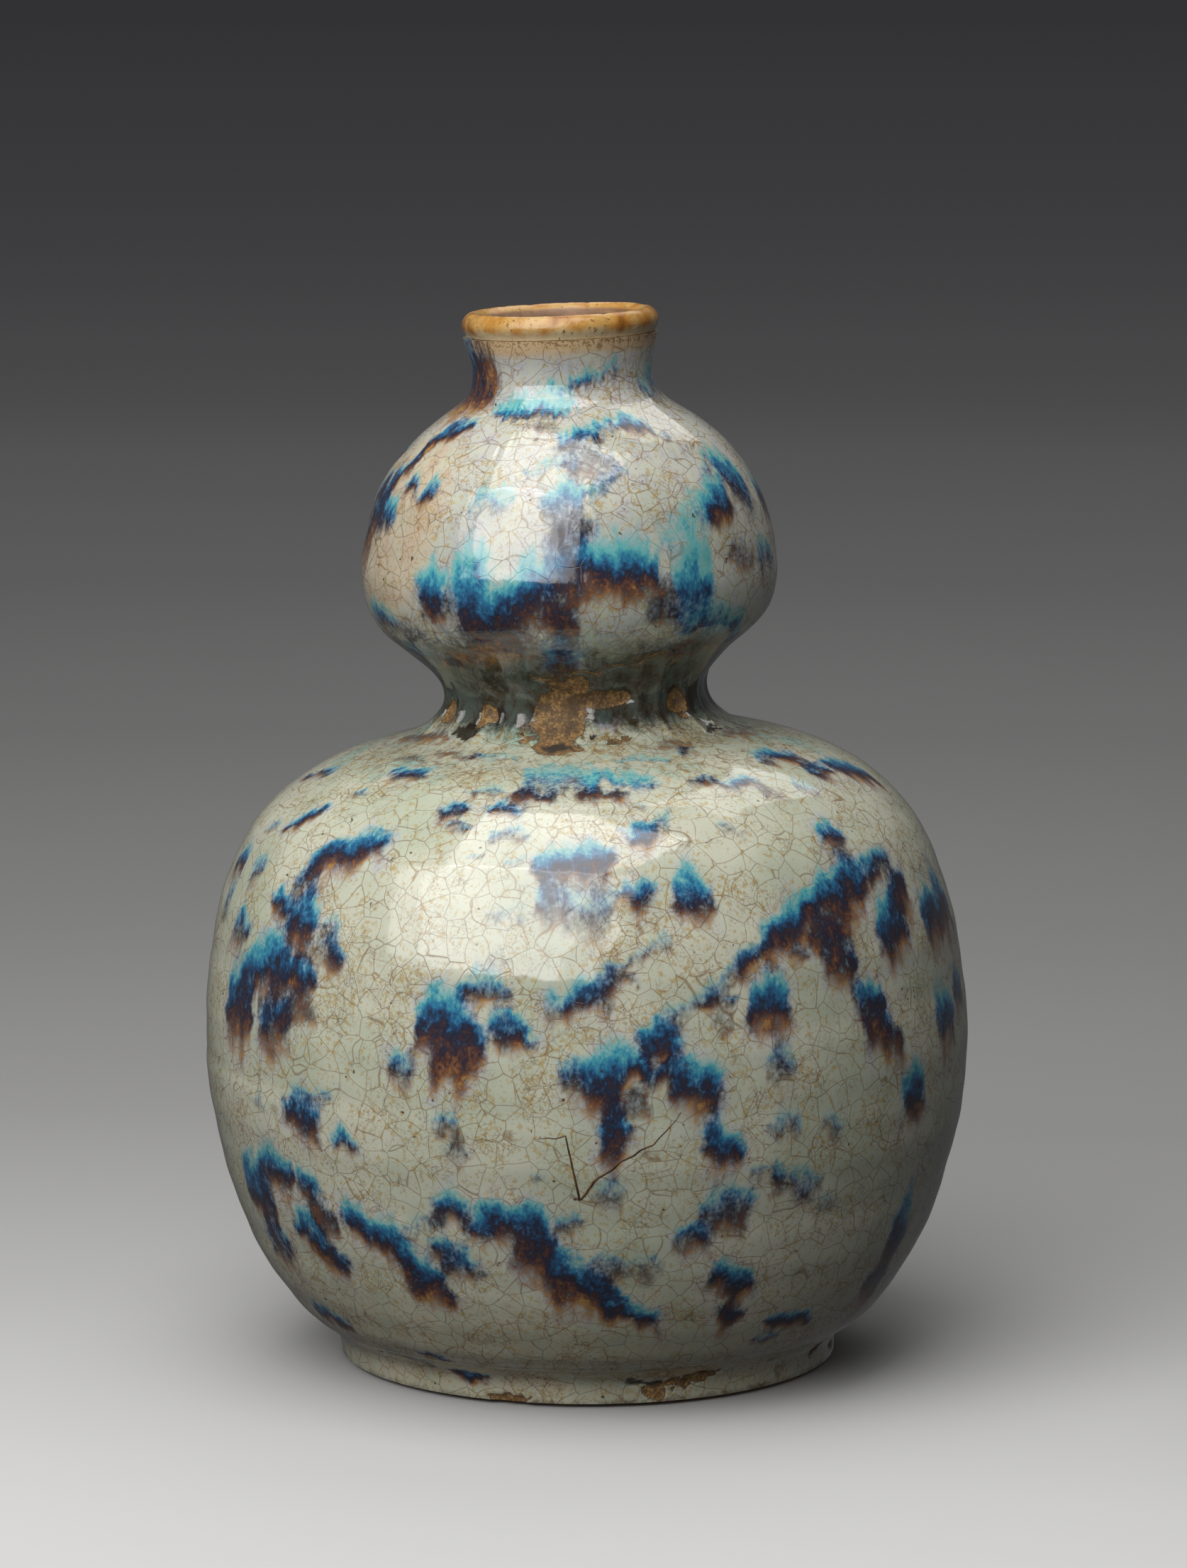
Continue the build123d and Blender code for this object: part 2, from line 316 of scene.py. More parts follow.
shoulder_runs = (
    (-12, 125.6, 8, 125.4, 15, 0.6, -0.2),
    (3, 124, 17, 123.8, 7, 0.7, -0.3),
    (13, 126, 27, 126, 5, 0.5, -0.35),
    (-34, 126.6, -20, 126.8, 4, 0.4, -0.3),
    (-82, 127.2, -55, 129.6, 5, 0.65, 0.72),
    (-50, 126.4, -33, 126.4, 4, 0.55, 0.7),
    (27, 127.2, 42, 127.2, 4, 0.5, 0.75),
    (60, 127.5, 84, 127, 5, 0.5, 0.7),
    (-60, 125, -50, 125, 3, 0.5, 0.6),
    (-14, 122, -6, 121.5, 4.5, 0.85, 0.45),
    (2, 121.5, 10, 121, 4, 0.8, 0.5),
    (-50, 123.8, -41, 124, 6, 0.8, 0),
    (-27, 119.8, -22, 120, 5, 0.8, 0.1),
    (-23.5, 117, -21.5, 117, 3.5, 0.65, 0.1),
    (-23, 122.5, -18, 122.5, 5, 0.45, 0),
    (-17, 119.8, -12, 120, 6, 0.85, 0.05),
    (-15.5, 115, -13.5, 115, 4, 0.5, 0.1),
    (-12, 116, -10, 116, 5, 0.45, 0),
    (-12.5, 110.5, -10.5, 110.5, 3, 0.4, 0),
    (-18.5, 112.5, -17.5, 112.5, 2, 0.4, 0),
    (-9, 111.5, -7.5, 111.5, 2, 0.4, 0),
    (-6, 113, 5.5, 113, 9, 0.9, 0.05),
    (-7, 106.5, -2, 107, 8, 0.65, 0),
    (-1, 105.5, 4, 105, 10, 0.55, 0),
    (-14, 102.5, -9, 102.5, 6, 0.3, 0),
    (-13, 95, -11, 95, 4, 0.25, 0),
    (9, 116, 14, 116.5, 7, 0.9, 0.05),
    (14.5, 117.5, 18, 117.5, 6, 0.5, 0),
    (11.5, 119.5, 14, 119.5, 3, 0.35, 0),
    (6, 107, 10.5, 107.5, 9, 0.85, 0.05),
    (16, 108.5, 20.5, 107.5, 11, 0.9, 0),
    (-51, 111.5, -36, 115.5, 8, 1.0, 0.15),
    (-52.5, 108.5, -48, 109, 9, 0.65, 0.1),
    (-58, 103.5, -52.5, 103, 6, 0.85, 0),
    (-51, 103, -45.5, 103, 12, 1.0, 0.05),
    (-43.5, 99, -40, 98, 4, 0.5, 0),
    (-41, 95, -38.5, 94.5, 6, 0.75, 0.1),
    (-45, 95, -41, 95, 6, 0.4, 0.3),
    (-81, 107, -76, 108.5, 8, 0.85, 0.1),
    (-69, 106, -65.5, 107, 7, 0.65, 0.1),
    (-66, 114.5, -58, 118, 5.5, 0.9, 0.1),
    (-74, 112.5, -70.5, 114, 4, 0.55, 0),
    (-86, 120.5, -74, 122.5, 4, 0.8, 0.2),
    (-78, 100, -75, 100, 7, 0.55, 0),
    (-54, 120.5, -51, 120.5, 2.5, 0.55, 0.1),
    (46, 113.5, 51, 112.5, 9, 0.85, 0),
    (53, 105, 60, 107, 6, 0.85, 0),
    (57, 101.5, 62.5, 103, 10, 1.0, 0.35),
    (52, 124.3, 60, 124.3, 9, 0.65, 0),
    (58, 124, 64, 123.5, 7, 1.0, 0.2),
    (61, 121, 66, 121, 6, 0.8, 0.1),
    (70, 121.5, 81, 119, 9, 1.0, 0.15),
    (36, 122, 42, 121.5, 5, 0.8, 0),
    (28, 122.5, 33, 122, 5, 0.75, 0.35),
    (41, 119.5, 44, 119, 4, 0.55, 0.5),
    (51, 119, 55, 119, 4, 0.5, 0),
    (27, 115, 29.5, 114.5, 4, 0.35, 0),
    (33, 126, 38, 126, 4, 0.5, 0),
)
belly_runs = (
    (-62, 93, -51, 96, 12, 1.0, 0),
    (-51, 91.5, -44, 90.5, 9, 0.95, 0.05),
    (-67, 87, -60, 88, 17, 1.0, 0.1),
    (-56, 84, -49.5, 84, 13, 0.9, 0.2),
    (-50, 84, -43.5, 83, 6, 0.65, 0.5),
    (-69, 97, -65, 97.5, 8, 0.75, 0.05),
    (-24.5, 87.5, -17.5, 88, 14, 1.0, 0),
    (-20, 82, -15.5, 82, 11, 1.0, 0.2),
    (-21.5, 77, -18, 77, 10, 0.95, 0.3),
    (-17.5, 90.5, -11, 90.5, 7, 0.75, 0),
    (-13, 83, -9.5, 82.5, 7, 0.8, 0),
    (-9, 82, -6.5, 80.5, 6, 0.85, 0.05),
    (-4, 88.5, 2.5, 89.5, 8, 0.8, 0),
    (-29, 77, -26, 77, 8, 0.7, 0),
    (3, 91, 13, 97.5, 5, 0.45, 0),
    (3.5, 89.5, 8, 90.5, 5, 0.7, 0.4),
    (25, 93.5, 31, 98, 6, 0.65, 0),
    (30, 98, 38, 102.5, 10, 1.0, 0),
    (38, 103, 44, 105.5, 9, 0.95, 0),
    (43, 103, 51, 106.5, 11, 1.0, 0.1),
    (38, 96, 42, 96.5, 8, 0.95, 0.35),
    (40, 91.5, 44.5, 91, 9, 0.85, 0.3),
    (52.5, 97.5, 58, 98, 14, 1.0, 0),
    (26, 87, 31.5, 87, 12, 1.0, 0),
    (25.5, 93, 29.5, 93.5, 5, 0.75, 0.45),
    (33, 91, 35.5, 91, 4, 0.55, 0.2),
    (45, 84.5, 49.5, 84, 9, 0.95, 0),
    (46, 78, 51, 78.5, 10, 1.0, 0.3),
    (49.5, 74, 53.5, 73.5, 8, 0.85, 0.45),
    (54.5, 66, 59, 66, 12, 1.0, 0),
    (67, 97, 73, 96, 14, 0.95, 0.1),
    (74, 99, 80, 97, 14, 0.95, 0.2),
    (66, 78, 71, 77, 13, 0.85, 0),
    (74, 79, 79, 78, 9, 0.8, 0.2),
    (10, 82, 25, 91.5, 5, 0.5, 0),
    (18, 85, 22, 84, 4, 0.65, 0.05),
    (19.5, 80, 21.5, 80, 4, 0.55, 0.5),
    (8, 81.5, 13, 80.5, 9, 1.0, 0),
    (0, 76, 8.5, 77, 13, 1.0, 0),
    (-3, 74.5, 1, 75, 9, 0.75, 0.15),
    (5.5, 67, 9, 67, 6, 0.65, 0.5),
    (10.5, 73, 14, 74, 6, 0.85, 0),
    (13.5, 73.5, 19, 72.5, 11, 1.0, 0),
    (2, 64, 6, 64.5, 11, 0.95, 0),
    (17.5, 61.5, 22, 61, 9, 1.0, 0),
    (27.5, 74, 31, 73.5, 9, 0.6, 0),
    (28.5, 62.5, 32, 62, 6.5, 0.5, 0),
    (37, 61, 40, 61, 5.5, 0.55, 0),
    (-49.5, 66.5, -41, 66.5, 5, 0.5, 0),
    (-49.5, 64, -43, 63, 10, 0.9, 0.1),
    (-39, 58.5, -36, 58, 5, 0.8, 0),
    (-22, 63, -18.5, 62.5, 5, 0.55, 0),
    (-21.5, 58, -17.5, 57.5, 6, 0.5, 0.4),
    (-58.5, 62, -55.5, 61, 5, 0.35, 0),
)
base_runs = (
    (25, 53, 30, 51.5, 4, 0.45, 0),
    (29, 51, 36, 49.5, 6, 0.55, 0),
    (36.5, 45, 41, 44, 4, 0.35, 0),
    (17.5, 48, 25, 49, 8, 0.65, 0),
    (20, 44, 24.5, 43.5, 6, 0.55, 0.5),
    (14.5, 42, 18.5, 41.5, 8, 0.85, 0.05),
    (20, 33.5, 27, 31, 8, 0.9, 0),
    (23.5, 24.5, 26, 24, 8, 0.95, 0.35),
    (34, 20, 43.5, 19, 4.5, 0.95, 0.1),
    (33, 15, 37, 15, 4, 0.6, 0.1),
    (58.5, 40, 62.5, 40, 20, 0.95, 0.1),
    (57, 25, 63, 24, 10, 0.85, 0.3),
    (1.5, 50, 5, 50, 6, 0.5, 0),
    (-3.5, 45, -0.5, 45, 5.5, 0.65, 0),
    (0, 35, 11, 35, 5, 0.4, 0),
    (3, 33, 9, 33, 5, 0.4, 0.5),
    (-16, 46.5, -10.5, 45.5, 9, 1.0, 0),
    (-10.5, 46.5, -6, 46.5, 10, 1.0, 0),
    (-10.5, 42, -3.5, 39, 13, 1.0, 0.2),
    (-5, 37, 1.5, 33, 13, 1.0, 0.15),
    (0, 32, 5, 28.5, 9, 1.0, 0.25),
    (4, 27, 11.5, 24, 8, 0.95, 0),
    (-17.5, 42.5, -14.5, 42, 6, 0.5, 0.1),
    (-40, 44.5, -33.5, 41, 8.5, 0.95, 0),
    (-34, 40.5, -29, 38.5, 9, 1.0, 0),
    (-30, 35, -24, 33, 9, 1.0, 0.05),
    (-28, 29, -22, 27, 7, 0.95, 0.4),
    (-30, 41, -22.5, 43, 4, 0.4, 0),
    (-22.5, 48.5, -18.5, 48.5, 9, 0.85, 0),
    (-24, 38.5, -20.5, 38.5, 6, 0.8, 0),
    (-22, 35.5, -17.5, 35, 7, 0.8, 0.1),
    (-60, 51, -51.5, 51, 11, 0.9, 0),
    (-66, 48, -59, 46, 15, 0.95, 0.05),
    (-64, 35, -57, 34, 12, 0.75, 0.1),
    (-49, 48, -45.5, 47, 8, 0.8, 0),
    (-47, 42, -43, 40.5, 7, 0.75, 0.4),
    (-52, 40, -47, 38, 9, 0.9, 0),
    (-49, 35.5, -43, 32, 8, 0.95, 0.3),
    (-8, 53.5, -6, 53.5, 4, 0.35, 0),
    (-60, 18, -52, 16, 6, 0.95, 0.15),
    (-46, 9.5, -35, 8.2, 4, 0.9, 0.2),
    (-34, 11.5, -30.5, 10.5, 2.5, 0.95, 0.2),
    (-30.5, 7.5, -23, 6, 3, 0.95, 0.2),
)


def runs_round_the_back(low, high, clusters):
    """Slanting rows of runs like those in front, for the turns that the photograph doesn't show."""
    first_turns, last_turn = (92, 262), 274
    runs = []
    for _ in range(clusters):
        turn = rng.uniform(*first_turns)
        height = rng.uniform(low, high)
        slope = rng.uniform(-1, 1)
        for _ in range(rng.integers(2, 6)):
            width = rng.uniform(3, 8)
            drop = slope * width
            strength = rng.choice([0.5, 0.75, 0.9, 1.0])
            length = rng.uniform(4, 14)
            start = rng.choice([0, 0.1, 0.3])
            runs.append((turn, height, turn + width, height + drop, length, strength, start))
            turn += width * rng.uniform(0.7, 1.6)
            height += drop * rng.uniform(0.8, 1.6)
    return [
        run for run in runs
        if low < min(run[1], run[3]) and max(run[1], run[3]) < high and run[2] < last_turn
    ]


comb_long = smooth_comb(turn_count, 3.5)
comb_fine = smooth_comb(turn_count, 1.3)


def lay_run(coat, from_turn, from_height, to_turn, to_height, length, strength, start):
    """Lay one run on a coat: it starts along its upper edge, drifts as it flows and fades out."""
    length *= MM
    half = math.radians(to_turn - from_turn) / 2
    middle = math.radians(to_turn + from_turn) / 2
    way = (coat.turn - middle + math.pi) % (2 * math.pi) - math.pi
    near = np.flatnonzero(np.abs(way) < half + 0.4)
    across = way[near][None, :] + coat.round_drift[:, near] / coat.radius[:, None]
    share = np.clip(across / (2 * half) + 0.5, 0, 1)
    bow = 1 - (2 * share - 1) ** 2

    # A ragged upper edge, and a ragged reach that is longest in the middle
    jag, fine_jag = (comb[near][None, :] / coat.softness ** 4 for comb in (comb_long, comb_fine))
    edge = coat.arc_at((from_height + (to_height - from_height) * share) * MM)
    edge = edge - 0.2 * length * (1 - bow) + 0.7 * MM * fine_jag
    reach = length * (0.75 + 0.3 * bow + 0.3 * jag + 0.2 * fine_jag)

    # How far past its sides and how far through the run each point is, its weight there, and its milky halo
    beyond = np.maximum(np.abs(across) - half, 0) * coat.radius[:, None]
    through = (edge - coat.arc[:, None] + coat.down_drift[:, near]) / reach
    body = ease(-0.35 * coat.softness, 0.3 * coat.softness, through) * (1 - ease(0.5, 1.4, through))
    stage = start + (1 - abs(start)) * np.clip(through, -0.1, 1.2)
    thickness = 0.3 + 0.7 * ease(-0.35, 0.1, stage)
    weight = strength * body * thickness * np.exp(-((beyond / (1.3 * MM * coat.softness)) ** 2))
    coat.splash[:, near] = 1 - (1 - coat.splash[:, near]) * (1 - weight)
    coat.run_weight[:, near] += weight
    coat.run[:, near] += weight * stage
    halo = ease(-0.8, 0.1, through) * (1 - ease(0.8, 2.0, through)) * np.exp(-((beyond / (3.5 * MM)) ** 2))
    coat.milk[:, near] = np.maximum(coat.milk[:, near], 0.7 * strength * halo)


# Marks at the waist, where fingers and a stuck bit kept the glaze off or let it pool, and a painted warm
# reflection on the upper bulb's left. Each has the layer that it changes, a turn in degrees, a height, a
# width and a length in millimetres, its strength and its depth

waist_marks = (
    ("bare", -6, 131.8, 11.5, 13, 1.0, 0.6),
    ("bare", -6, 127.4, 9.0, 6, 0.95, 0.4),
    ("bare", -1, 138.6, 8.5, 5.5, 0.9, 0.4),
    ("bare", 13, 135.6, 12.5, 3.8, 1.0, 0.6),
    ("bare", 16, 127.8, 5.0, 1.8, 0.85, 0.35),
    ("bare", -19, 128.4, 3.6, 2.6, 0.8, 0.3),
    ("bare", -40, 132.4, 5.0, 5.2, 0.9, 0.65),
    ("bare", -67, 132.0, 4.4, 5.4, 0.9, 0.65),
    ("bare", 50, 133.0, 5.0, 5.8, 0.8, 0.65),
    ("bare", 128, 131, 5.0, 7.0, 0.9, 0.6),
    ("bare", 160, 132, 4.4, 6.0, 0.85, 0.6),
    ("bare", 222, 131.5, 5.0, 7.5, 0.9, 0.6),
    ("bare", 5, 141.6, 10, 1.1, 0.85, 0.2),
    ("bare", 18, 143, 9, 1.0, 0.8, 0.2),
    ("bare", 29, 144.6, 6, 0.9, 0.75, 0.2),
    ("bare", -11, 140.4, 5, 1.1, 0.8, 0.2),
    ("soot", -6, 127.3, 6.5, 3.4, 0.85, 0.1),
    ("soot", 7, 128.6, 1.6, 1.2, 1.0, 0.4),
    ("soot", 47, 136.0, 3.0, 2.0, 0.9, 0.3),
    ("soot", -47, 129.4, 8.0, 4.4, 1.0, 0.0),
    ("soot", -33, 132.6, 2.4, 5.0, 0.8, 0.0),
    # Painted shade: a dark hole at the top of the hollow near turn -67, deeper than its sunk oval
    ("soot", -60, 134.4, 2.4, 3.0, 0.9, 0.3),
    ("soot", 60, 127.4, 7.0, 2.0, 0.9, 0.3),
    # Painted warm reflection: a peach flush on the upper bulb's left stands in for warm light bounced on to
    # it
    ("blush", -62, 172, 36, 46, 0.55, 0.0),
    ("milk", 15, 131.2, 6.5, 4.4, 1.3, -0.1),
    ("milk", -19, 131.5, 4.4, 2.6, 1.3, -0.1),
)
# Ribs of thick glaze that ran down between the marks: turn, height, width, length and how far they stand out
waist_ribs = (
    (-24, 131.5, 3.6, 15, 0.9),
    (-40, 131.5, 2.8, 14, 1.2),
    (-58, 132, 3.0, 13, 1.1),
    (-74, 132, 3.4, 12, 0.8),
    (29, 132, 3.6, 14, 0.7),
    (38, 132, 2.6, 13, 1.0),
    (55, 132, 2.2, 12, 1.2),
    (66, 132, 3.2, 12, 0.8),
    (95, 132, 4.0, 13, 0.8),
    (144, 132, 4.0, 13, 1.1),
    (185, 132, 4.5, 14, 0.8),
    (240, 132, 4.0, 13, 0.9),
)
# Chips and bare spots along the foot, in the same terms as the marks
foot_chips = (
    ("bare", 15, 2.6, 6, 2.6, 1.0, 0.5),
    ("bare", 20, 4.2, 8, 2.6, 1.0, 0.5),
    ("bare", 26, 5.8, 8, 2.4, 0.95, 0.4),
    ("bare", -18, 1.6, 9, 1.8, 0.95, 0.5),
    ("soot", 13, 4.8, 9, 2.2, 0.9, 0.2),
    ("blush", 22, 7.5, 16, 5, 0.8, 0.0),
    ("bare", 63, 5.5, 3.4, 2.4, 0.6, 0.4),
    ("bare", 78, 3.5, 5, 3.5, 0.6, 0.4),
    ("soot", -50, 7.5, 1.6, 1.4, 1.0, 0.5),
    ("bare", 130, 3.0, 9, 2.4, 0.9, 0.5),
    ("bare", 205, 2.4, 12, 1.8, 0.9, 0.5),
)


# Route of a stained crack on the belly's front: turns in degrees and heights in millimetres
crack_route = ((-7, 58.5), (-3, 59.5), (-1, 46.5), (1, 50.5), (5, 54.5), (9.5, 57.5), (13.5, 63))


def lay_mark(coat, layer, turn, height, width, length, strength, depth):
    """Change one layer of a coat within an uneven oval, and sink the oval inside a soft rim of glaze."""
    across, up = coat.offset(math.radians(turn), coat.arc_at(height * MM))
    across = across + 0.7 * coat.round_drift
    up = up + 0.7 * coat.down_drift
    reach = np.hypot(across / (width * MM / 2), up / (length * MM / 2))
    inside = 1 - ease(0.7, 1.15, reach)
    rim = np.exp(-(((reach - 1.25) / 0.22) ** 2))
    setattr(coat, layer, np.maximum(getattr(coat, layer), strength * inside))
    coat.raised += -depth * MM * inside + 0.2 * depth * MM * rim
    if layer in ("bare", "milk"):
        coat.splash *= 1 - inside


def lay_rib(coat, turn, height, width, length, rise):
    """Raise a rib of thick glaze on a coat."""
    across, up = coat.offset(math.radians(turn), coat.arc_at(height * MM))
    section = np.exp(-((across / (width * MM / 2)) ** 2))
    coat.raised += rise * MM * section * np.exp(-((up / (length * MM / 2)) ** 4))


def finish_coat(coat):
    """Throwing waves, the foot's softened step, crumbled bare clay, milky glaze, and thin glaze with painted
    shade.
    """
    for period, swell in ((19 * MM, 0.10 * MM), (7.3 * MM, 0.04 * MM)):
        phase = coat.arc / period * 2 * math.pi
        wave = np.sin(phase[:, None] + 0.8 * comb_long[None, :] + coat.turn[None, :])
        coat.raised += swell * coat.off_waist * wave
    heights, radii, _ = coat.profile
    window = np.hanning(2 * foot_spread + 3)[1:-1] / (foot_spread + 1)
    softened = np.convolve(np.pad(radii, foot_spread, mode="edge"), window, mode="valid")
    step = np.interp(coat.height, heights, softened) - coat.radius
    coat.raised += (step * (1 - ease(*foot_step, coat.height)))[:, None]
    coat.raised += 0.2 * MM * coat.crumble * coat.bare * coat.off_waist
    # Painted shade round the waist: thin olive glaze, darkened as shade up under the bulb's overhang
    above = (coat.height - waist_height)[:, None] + 1.5 * MM * comb_long[None, :]
    waist_shade = np.where(above > 0, 1 - ease(4 * MM, 22 * MM, above), 1 - ease(1.5 * MM, 8 * MM, -above))
    coat.thin = np.maximum(coat.thin, waist_shade)
    # Painted shade at the glaze's lower edge
    edge_shade = 0.5 * (1 - ease(0.2 * MM, 2.0 * MM, coat.height - glaze_edge_height))
    coat.thin = np.maximum(coat.thin, edge_shade[:, None])
    milkiness = 0.55 * ease(*bulb_milk, coat.height) + 0.15 * ease(*crown_milk, coat.height)
    coat.milk = np.maximum(coat.milk, milkiness[:, None])
    coat.raised += (0.7 * MM * ease(*lip_flare, coat.height))[:, None]
    flush = 1.3 * ease(*lip_flush, coat.height) + 0.4 * (1 - ease(*foot_flush, coat.height))
    coat.blush = np.maximum(coat.blush, flush[:, None])
    coat.pool += (ease(*pool_begins, coat.height) * (1 - ease(*pool_ends, coat.height)))[:, None]
    coat.raised = np.maximum(coat.raised, -0.85 * glaze_thickness)
    coat.run = coat.run / np.maximum(coat.run_weight, 1e-6)


def shell_faces(rings):
    """Quads of a closed shell of rings: each ring joins the next, and the last joins the first."""
    ring, turn = np.meshgrid(np.arange(rings), np.arange(turn_count), indexing="ij")
    after = (turn + 1) % turn_count
    here, there = ring * turn_count, (ring + 1) % rings * turn_count
    return np.stack([here + turn, here + after, there + after, there + turn], axis=-1).reshape(-1, 4)


def ring_points(coat_turns, heights, radii):
    """Points of a grid of rings; the radii may differ round each ring."""
    turn, height = np.meshgrid(coat_turns, heights)
    return place(turn, height, np.broadcast_to(radii, turn.shape)).reshape(-1, 3)


def new_piece(name, points, faces, material):
    """A smooth mesh piece that rides with the vase."""
    mesh = bpy.data.meshes.new(name)
    mesh.from_pydata(points.tolist(), [], faces.tolist())
    mesh.materials.append(material)
    mesh.shade_smooth()
    piece = bpy.data.objects.new(name, mesh)
    bpy.context.scene.collection.objects.link(piece)
    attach(piece, "root")
    return piece


def unroll(piece, ring_places):
    """Map a shell's quads, ring by ring, on to the flat square that its finish can be baked to."""
    mesh = piece.data
    corners = np.zeros(len(mesh.loops), dtype=np.int32)
    mesh.loops.foreach_get("vertex_index", corners)
    across = (corners % turn_count / turn_count).reshape(-1, 4)
    over_the_join = (across.max(axis=1) - across.min(axis=1) > 0.5)[:, None]
    across = np.where(over_the_join & (across < 0.5), across + 1, across)
    up = ring_places[corners // turn_count].reshape(-1, 4)
    up[-turn_count:] = np.where(up[-turn_count:] == ring_places[0], 1.0, up[-turn_count:])
    layer = mesh.uv_layers.new(name="OFBake")
    layer.uv.foreach_set("vector", np.stack([across, up], axis=-1).astype(np.float32).ravel())


def add_layer(piece, name, values):
    """Store one number for each point of a piece."""
    layer = piece.data.attributes.new(name, "FLOAT", "POINT")
    layer.data.foreach_set("value", np.asarray(values, np.float32).ravel())


def coat_piece(name, coat, material):
    """A closed shell: the modelled face outside, and a plain face on the clay inside."""
    outside = ring_points(coat.turn, coat.height, coat.radius[:, None] + coat.raised)
    up_way, out_way = np.gradient(coat.height, coat.arc), np.gradient(coat.radius, coat.arc)
    chosen = np.append(np.arange(0, len(coat.arc) - 1, inner_ring_stride), len(coat.arc) - 1)[::-1]
    sunk_height = coat.height + out_way * 0.93 * glaze_thickness
    sunk_radius = coat.radius - up_way * 0.93 * glaze_thickness
    inside = ring_points(coat.turn, sunk_height[chosen], sunk_radius[chosen, None])
    rings = len(coat.arc) + len(chosen)
    piece = new_piece(name, np.concatenate([outside, inside]), shell_faces(rings), material)
    mesh = piece.data
    sharp = np.zeros(len(mesh.edges), dtype=bool)
    ends = np.zeros(2 * len(mesh.edges), dtype=np.int32)
    mesh.edges.foreach_get("vertices", ends)
    ring_of_ends = ends.reshape(-1, 2) // turn_count
    for ring in (0, len(coat.arc) - 1, len(coat.arc), rings - 1):
        sharp |= (ring_of_ends == ring).all(axis=1)
    mesh.attributes.new("sharp_edge", "BOOLEAN", "EDGE").data.foreach_set("value", sharp)
    for layer in coat_layers:
        values = getattr(coat, layer)
        add_layer(piece, layer, np.concatenate([values, values[chosen]]))
    outer_places = 0.86 * (coat.arc - coat.arc[0]) / (coat.arc[-1] - coat.arc[0])
    unroll(piece, np.concatenate([outer_places, np.linspace(0.87, 0.99, len(chosen))]))
    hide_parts(coat.node)


# Finishes


def add(tree, kind, settings=None, inputs=None, output=0, ramp=()):
    """Add a node, set its properties, fill or feed its inputs, lay out its ramp and give one output."""
    made = tree.nodes.new(kind)
    for name, value in (settings or {}).items():
        setattr(made, name, value)
    for name, value in (inputs or {}).items():
        if isinstance(value, bpy.types.NodeSocket):
            tree.links.new(value, made.inputs[name])
        else:
            made.inputs[name].default_value = linear(value) if isinstance(value, str) else value
    for number, (position, colour) in enumerate(ramp):
        stops = made.color_ramp.elements
        stop = stops[number] if number < 2 else stops.new(position)
        stop.position = position
        stop.color = linear(colour)
    return made.outputs[output] if made.outputs else made


def new_finish(name):
    """A material, its empty tree and the place on the object, which every finish varies by."""
    material = bpy.data.materials.new(name)
    material.use_nodes = True
    tree = material.node_tree
    tree.nodes.clear()
    return material, tree, add(tree, "ShaderNodeTexCoord", output="Object")


def dress(tree, inputs):
    """Give a finish its shader, fed by these inputs, and its output."""
    surface = add(tree, "ShaderNodeBsdfPrincipled", None, inputs)
    add(tree, "ShaderNodeOutputMaterial", None, {"Surface": surface})


